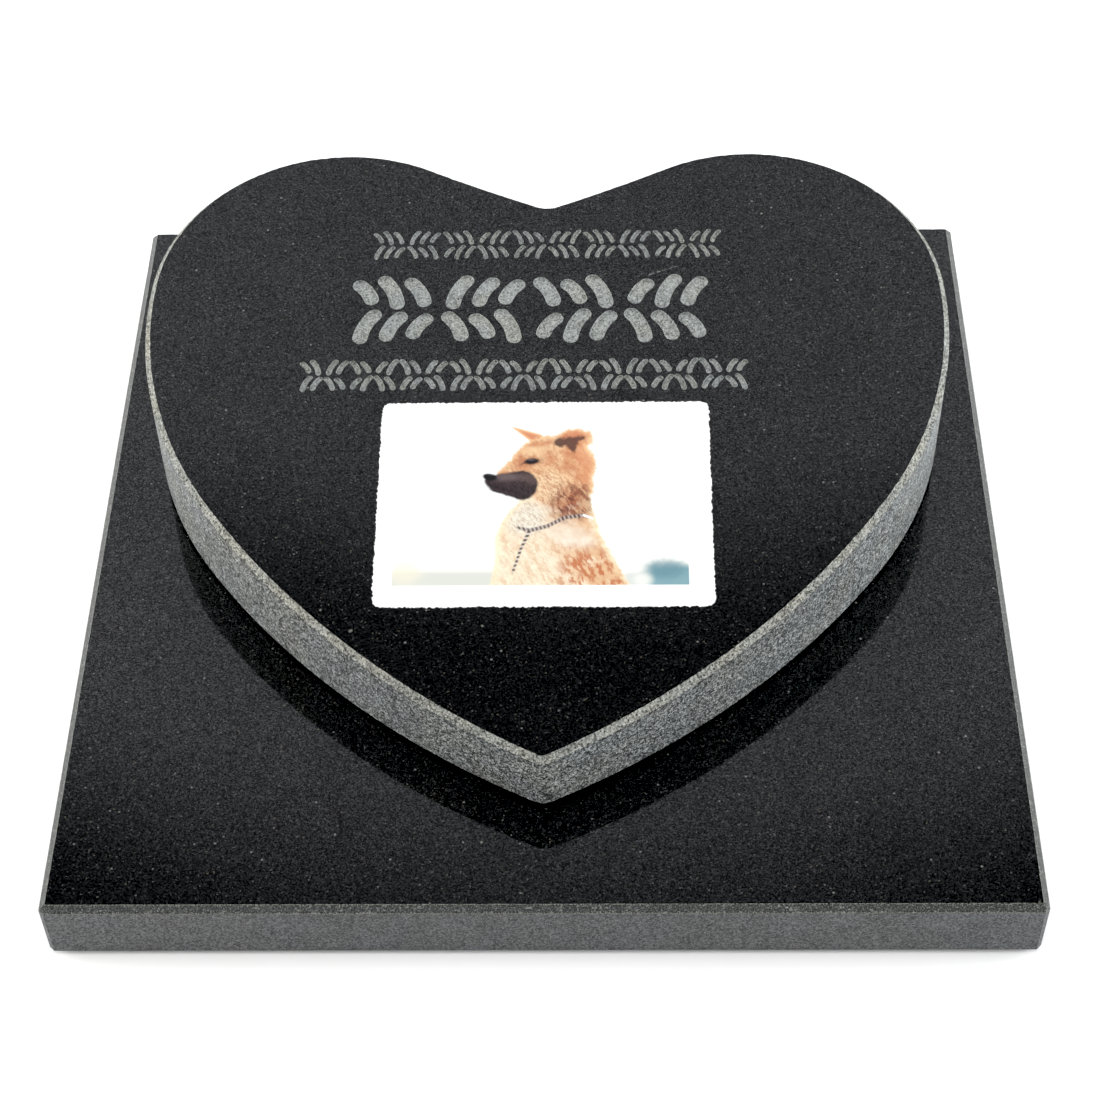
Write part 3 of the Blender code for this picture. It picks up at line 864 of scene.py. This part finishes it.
def stroke_ring(x, y, length, width, lean, bend, segments):
    """Return the outline of a bent stroke with round ends, its middle at x, y.

    lean is the direction of its middle from +X, and bend is the angle that it turns through.
    """
    radius = (length - width) / bend
    centre_x = x - radius * math.sin(lean)
    centre_y = y + radius * math.cos(lean)
    ring = []
    for side in (1, -1):
        for index in range(segments + 1):
            heading = lean + side * bend * (index / segments - 0.5)
            reach = radius + side * width / 2
            ring.append((centre_x + reach * math.sin(heading), centre_y - reach * math.cos(heading)))
        end_heading = lean + side * bend / 2
        end_x = centre_x + radius * math.sin(end_heading)
        end_y = centre_y - radius * math.cos(end_heading)
        for index in range(1, segments):
            turned = end_heading + math.pi * index / segments
            ring.append((end_x + side * width / 2 * math.sin(turned),
                         end_y - side * width / 2 * math.cos(turned)))
    return ring


def row_rings(row, foot, field, sizes):
    """Yield a row's strokes: in each cell two tiers that lean opposite ways and never touch."""
    tier_height = row.height * field / 2
    pitch = row.width * HEART_WIDTH / row.cells
    spacing = pitch / (row.strokes_in_tier + CELL_GAP_SHARE)
    for cell in range(row.cells):
        cell_x = row.offset * HEART_WIDTH + (cell + 0.5 - row.cells / 2) * pitch
        for tier in (0, 1):
            lean_way = 1 if cell % 2 == tier else -1
            bend_way = 1 if (cell + tier) % 2 else -1
            for place in range(row.strokes_in_tier):
                shorter = (cell + 2 * tier + place) % 3
                yield stroke_ring(x=cell_x + (place - (row.strokes_in_tier - 1) / 2) * spacing,
                                  y=foot + tier_height * (tier + 0.5),
                                  length=tier_height * (LONGEST_STROKE_SHARE - LENGTH_STEP_SHARE * shorter),
                                  width=row.stroke * row.height * field,
                                  lean=math.pi / 2 - lean_way * (sizes.lean + sizes.lean_step * shorter),
                                  bend=bend_way * sizes.bend,
                                  segments=row.segments)


def stroke_rings(sizes, picture, top):
    """Return the slightly ragged outlines of every stroke in the field between the print and the cleft."""
    foot = top.print_centre + picture.height / 2
    field = top.to_cleft - foot
    rings = []
    for row in ROWS:
        foot += row.gap * field
        for stroke in row_rings(row, foot, field, sizes):
            rings.append([(x + sizes.raggedness * noise.noise(Vector((x, y, 0.0)) / MM),
                           y + sizes.raggedness * noise.noise(Vector((x, y, 9.0 * MM)) / MM))
                          for x, y in stroke])
        foot += row.height * field
    return rings


def print_ring(sizes, top, grow):
    """Return the print's outline, a rounded rectangle whose edge wanders, grown by a distance."""
    radius = sizes.corner_radius
    half_x, half_y = sizes.width / 2 - radius, sizes.height / 2 - radius
    stops = []
    for quarter, (side_x, side_y) in enumerate(((1, -1), (1, 1), (-1, 1), (-1, -1))):
        start = (quarter - 1) * math.pi / 2
        end = quarter * math.pi / 2
        x, y = side_x * half_x, side_y * half_y
        for index in range(CORNER_POINTS + 1):
            stops.append((x, y, start + (end - start) * index / CORNER_POINTS))
        length = 2 * (half_x if quarter % 2 else half_y)
        steps = round(length / RIM_SPACING)
        for index in range(1, steps):
            along = length * index / steps
            stops.append((x - math.sin(end) * along, y + math.cos(end) * along, end))
    points = []
    for x, y, angle in stops:
        edge = Vector((x + radius * math.cos(angle), y + radius * math.sin(angle), 0.0)) / MM
        wander = sum(weight * noise.noise(edge / wave + Vector(origin)) for wave, weight, origin in RIM_WAVES)
        reach = radius + grow + sizes.raggedness * wander
        points.append((x + reach * math.cos(angle), y + reach * math.sin(angle) + top.print_centre))
    return points


def grown(ring, distance):
    """Return a ring that runs anticlockwise, with every point moved outwards by a distance."""
    points = []
    for index, (x, y) in enumerate(ring):
        before, after = ring[index - 1], ring[(index + 1) % len(ring)]
        along = Vector((after[0] - before[0], after[1] - before[1])).normalized()
        points.append((x + distance * along.y, y - distance * along.x))
    return points


def sunken_cutter(name, rings, depth, draft, top, material):
    """Make a cutter for shallow recesses: each ring as wide as given at the stone's top, narrower below."""
    bm = bmesh.new()
    for ring in rings:
        floor = [bm.verts.new((x, y, -depth)) for x, y in grown(ring, -draft)]
        lid = [bm.verts.new((x, y, depth)) for x, y in grown(ring, draft)]
        bm.faces.new(floor)
        bm.faces.new(lid)
        for index in range(len(ring)):
            bm.faces.new((floor[index - 1], floor[index], lid[index], lid[index - 1]))
    bmesh.ops.transform(bm, matrix=top.frame, verts=bm.verts)
    return make_object(name, bm, [material])


def cut(piece, cutters):
    """Cut shapes out of a piece, each leaving its material on the cut, and keep the result as its mesh."""
    for cutter in cutters:
        modifier = piece.modifiers.new("cut_" + cutter.name, "BOOLEAN")
        modifier.operation = "DIFFERENCE"
        modifier.solver = "EXACT"
        modifier.material_mode = "TRANSFER"
        modifier.object = cutter
    bpy.context.view_layer.update()
    cut_piece = piece.evaluated_get(bpy.context.evaluated_depsgraph_get())
    mesh = bpy.data.meshes.new_from_object(cut_piece)
    piece.modifiers.clear()
    piece.data = mesh
    for cutter in cutters:
        bpy.data.objects.remove(cutter, do_unlink=True)


class HEADSTONE_OT_slab(bpy.types.Operator):
    """Make the square slab with its polished top and ground edges"""

    bl_idname = "headstone.make_slab"
    bl_label = "Make Slab"

    def execute(self, context):
        sizes = context.scene.headstone_slab
        ring = square_ring(SLAB_LOW, SLAB_HIGH, sizes.corner_chamfer, OUTLINE_SPACING)
        bm = cut_stone(ring, foot=SLAB_LOW.z, tip_height=SLAB_HIGH.z - SLAB_LOW.z, slope=0.0, tip_y=0.0,
                       chamfers=(sizes.top_chamfer, sizes.foot_chamfer), crumble=sizes.crumble,
                       side_finish=HONED, rim_finish=SAWN)
        piece = make_object("granite_slab", bm, stone_materials(context.scene.headstone_colours))
        smooth_piece(piece)
        place_piece(piece, "base_slab")
        return {"FINISHED"}


class HEADSTONE_OT_heart(bpy.types.Operator):
    """Make the heart block, with its picture's pocket and its blasted strokes"""

    bl_idname = "headstone.make_heart"
    bl_label = "Make Heart"

    def execute(self, context):
        scene = context.scene
        sizes, strokes, picture = scene.headstone_heart, scene.headstone_strokes, scene.headstone_print
        top = heart_top(scene)
        ring = [(x, y + top.tip_y)
                for x, y in heart_ring(OUTLINE_SPACING, sizes.tip_blunting, sizes.cleft_rounding)]
        bm = cut_stone(ring, foot=HEART_LOW.z, tip_height=sizes.tip_height, slope=sizes.top_slope,
                       tip_y=top.tip_y, chamfers=(sizes.top_chamfer, sizes.foot_chamfer),
                       crumble=sizes.crumble, side_finish=ROUGH, rim_finish=GROUND)
        materials = stone_materials(scene.headstone_colours)
        piece = make_object("granite_heart", bm, materials)
        pocket = print_ring(picture, top, picture.clearance)
        cut(piece, [sunken_cutter("strokes", stroke_rings(strokes, picture, top), strokes.depth,
                                  strokes.draft, top, materials[BLASTED]),
                    sunken_cutter("pocket", [pocket], picture.thickness + picture.clearance,
                                  picture.pocket_draft, top, materials[HONED])])
        smooth_piece(piece)
        place_piece(piece, "heart_stone")
        return {"FINISHED"}


class HEADSTONE_OT_print(bpy.types.Operator):
    """Make the printed picture with its ragged white rim"""

    bl_idname = "headstone.make_print"
    bl_label = "Make Print"

    def execute(self, context):
        sizes = context.scene.headstone_print
        top = heart_top(context.scene)
        bm = bmesh.new()
        foot = bm.faces.new([bm.verts.new((x, y, -sizes.thickness)) for x, y in print_ring(sizes, top, 0.0)])
        risen = bmesh.ops.extrude_face_region(bm, geom=[foot], use_keep_orig=True)
        upper = only_verts(risen["geom"])
        bmesh.ops.translate(bm, vec=(0.0, 0.0, sizes.thickness - sizes.sinking), verts=upper)
        bmesh.ops.recalc_face_normals(bm, faces=bm.faces)
        for face in bm.faces:
            face.material_index = 0 if face.normal.z > 0.9 else 1
        bmesh.ops.transform(bm, matrix=top.frame, verts=bm.verts)
        piece = make_object("picture_print", bm, [printed_picture(top), plain_white("print_rim")])
        place_piece(piece, "photo_print")
        return {"FINISHED"}


def add_softbox(name, place, aim, size, radiance, tint=WHITE, glossy=False):
    """Add a rectangular softbox of a given radiance that faces a point."""
    light = bpy.data.lights.new(name, "AREA")
    light.shape = "RECTANGLE"
    light.size, light.size_y = size
    light.energy = math.pi * size[0] * size[1] * radiance
    light.color = tint
    item = bpy.data.objects.new(name, light)
    item.location = place
    item.rotation_euler = (Vector(aim) - Vector(place)).to_track_quat("-Z", "Y").to_euler()
    item.visible_glossy = glossy
    bpy.context.scene.collection.objects.link(item)
    return item


def grade_panel(item):
    """Let the panel's glow dip in its middle and fade out towards its upper border."""
    item.data.use_nodes = True
    tree = item.data.node_tree
    graph = Graph(tree)
    place = graph.add("ShaderNodeNewGeometry", {}, {}, "Parametric")
    across = graph.part(place, "X") - 0.5
    spread = across * across
    fade = (graph.part(place, "Y") + 2.0 * spread).smooth(0.56, 0.86)
    glow = (0.51 + 2.2 * spread + 0.12 * across) * (1 - fade)
    tree.links.new(glow.socket, tree.nodes["Emission"].inputs["Strength"])


def make_floor(studio):
    """Make the wide pale floor, part of the stage."""
    bm = bmesh.new()
    bmesh.ops.create_circle(bm, cap_ends=True, radius=FLOOR_RADIUS, segments=96)
    material, graph, output = new_material("pale_floor")
    tone = graph.noise(graph.position(), 600.0, detail=2.0)
    colour = graph.mix(tone, tuple(studio.floor), tinted(studio.floor, (0.985, 0.985, 0.985)))
    finish_material(graph, output, {"IOR": 1.4, "Roughness": 0.8, "Specular IOR Level": 0.2},
                    Base_Color=colour)
    make_object("pale_floor", bm, [material])


def light_room(scene, studio):
    """Light the room: brighter at eye level than above, and brighter again right overhead."""
    world = bpy.data.worlds.new("room")
    world.use_nodes = True
    graph = Graph(world.node_tree)
    height = graph.part(graph.add("ShaderNodeTexCoord", {}, {}, "Generated"), "Z")
    glow = (studio.room_light * (1 - height.smooth(0.30, 0.75)) + studio.dim_light
            + studio.ceiling_light * height.smooth(0.94, 1.0))
    background = world.node_tree.nodes["Background"]
    background.inputs["Color"].default_value = (0.97, 0.985, 1.0, 1.0)
    world.node_tree.links.new(glow.socket, background.inputs["Strength"])
    scene.world = world


def place_camera(scene):
    """Put the camera where the photo's was."""
    camera = bpy.data.cameras.new("camera")
    camera.sensor_width = CAMERA_SENSOR
    camera.lens = CAMERA_LENS
    item = bpy.data.objects.new("camera", camera)
    item.location = CAMERA_PLACE
    item.rotation_euler = Euler([math.radians(angle) for angle in CAMERA_DEGREES])
    scene.collection.objects.link(item)
    scene.camera = item


class HEADSTONE_OT_studio(bpy.types.Operator):
    """Set out the pale floor, the soft lights and the camera"""

    bl_idname = "headstone.make_studio"
    bl_label = "Make Studio"

    def execute(self, context):
        scene = context.scene
        studio = scene.headstone_studio
        make_floor(studio)
        light_room(scene, studio)
        add_softbox("top_softbox", (0.0, -0.35, 1.6), STONE_MIDDLE, (1.8, 1.8), studio.top_light)
        for name, place, tint in SIDE_BOXES:
            add_softbox(name, place, STONE_MIDDLE, SIDE_BOX_SIZE, studio.side_light, tint)
        grade_panel(add_softbox("back_panel", (0.0, 0.3, 0.5), (0.0, 0.0, 0.5), (1.2, 1.0), studio.back_light,
                                (0.96, 0.975, 1.04), glossy=True))
        place_camera(scene)
        view = scene.view_settings
        view.view_transform = "Standard"
        view.use_curve_mapping = True
        view.curve_mapping.black_level = (studio.black_level,) * 3
        view.curve_mapping.update()
        return {"FINISHED"}


class HEADSTONE_PT_panel(bpy.types.Panel):
    """Lists the headstone's sizes, colours and steps"""

    bl_idname = "HEADSTONE_PT_panel"
    bl_label = "Heart Headstone"
    bl_space_type = "VIEW_3D"
    bl_region_type = "UI"
    bl_category = "Headstone"

    def draw(self, context):
        for title, group in GROUPS.items():
            box = self.layout.box()
            box.label(text=title.capitalize())
            settings = getattr(context.scene, "headstone_" + title)
            for name in group.__annotations__:
                box.prop(settings, name)
        for operator in OPERATORS:
            self.layout.operator(operator.bl_idname)


GROUPS = {"slab": SlabSizes, "heart": HeartSizes, "strokes": StrokeSizes, "print": PrintSizes,
          "colours": StoneColours, "studio": StudioSettings}
OPERATORS = (HEADSTONE_OT_slab, HEADSTONE_OT_heart, HEADSTONE_OT_print, HEADSTONE_OT_studio)


def register():
    """Register the classes and hang the settings on the scene."""
    for item in (*GROUPS.values(), *OPERATORS, HEADSTONE_PT_panel):
        bpy.utils.register_class(item)
    for title, group in GROUPS.items():
        setattr(bpy.types.Scene, "headstone_" + title, PointerProperty(type=group))


def unregister():
    """Take the settings and the classes away again."""
    for title in GROUPS:
        delattr(bpy.types.Scene, "headstone_" + title)
    for item in (HEADSTONE_PT_panel, *OPERATORS, *GROUPS.values()):
        bpy.utils.unregister_class(item)


def main():
    """Make every piece and the stage."""
    register()
    bpy.ops.headstone.make_slab()
    bpy.ops.headstone.make_heart()
    bpy.ops.headstone.make_print()
    bpy.ops.headstone.make_studio()


if __name__ == "__main__":
    main()
